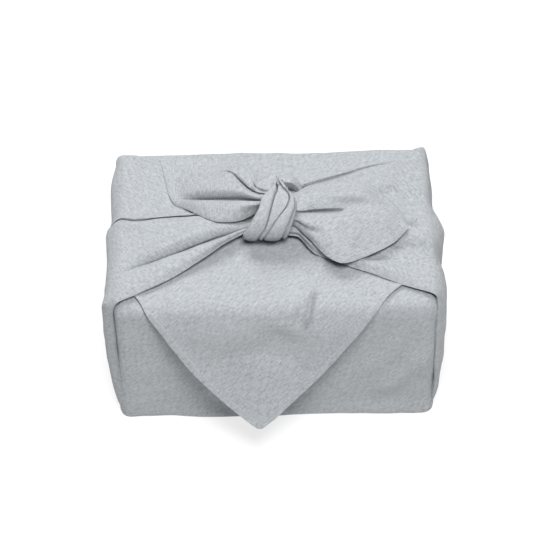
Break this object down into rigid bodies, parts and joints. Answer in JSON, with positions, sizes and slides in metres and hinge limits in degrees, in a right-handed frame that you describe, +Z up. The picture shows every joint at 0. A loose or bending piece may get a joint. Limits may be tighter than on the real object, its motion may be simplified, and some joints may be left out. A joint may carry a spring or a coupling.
{
  "type": "furoshiki wrap with box",
  "caption": "Square cloth wrapped round a plain gift box, knotted on top, with a pointed flap down the front.",
  "frame": {"origin": "centre of the base, on the surface that the wrapped box stands on", "axes": "+X to the right, -Y towards the side with the pointed flap, +Z up"},
  "size_m": [0.2462, 0.1976, 0.1474],
  "materials": {
    "cloth": "pale blue-grey slubbed plain weave, matt, hemmed and stitched at the edge",
    "box": "plain paper-covered gift box, hidden under the cloth"
  },
  "bodies": {
    "root": {"cloth": "cloth", "box": "box"}
  },
  "joints": []
}
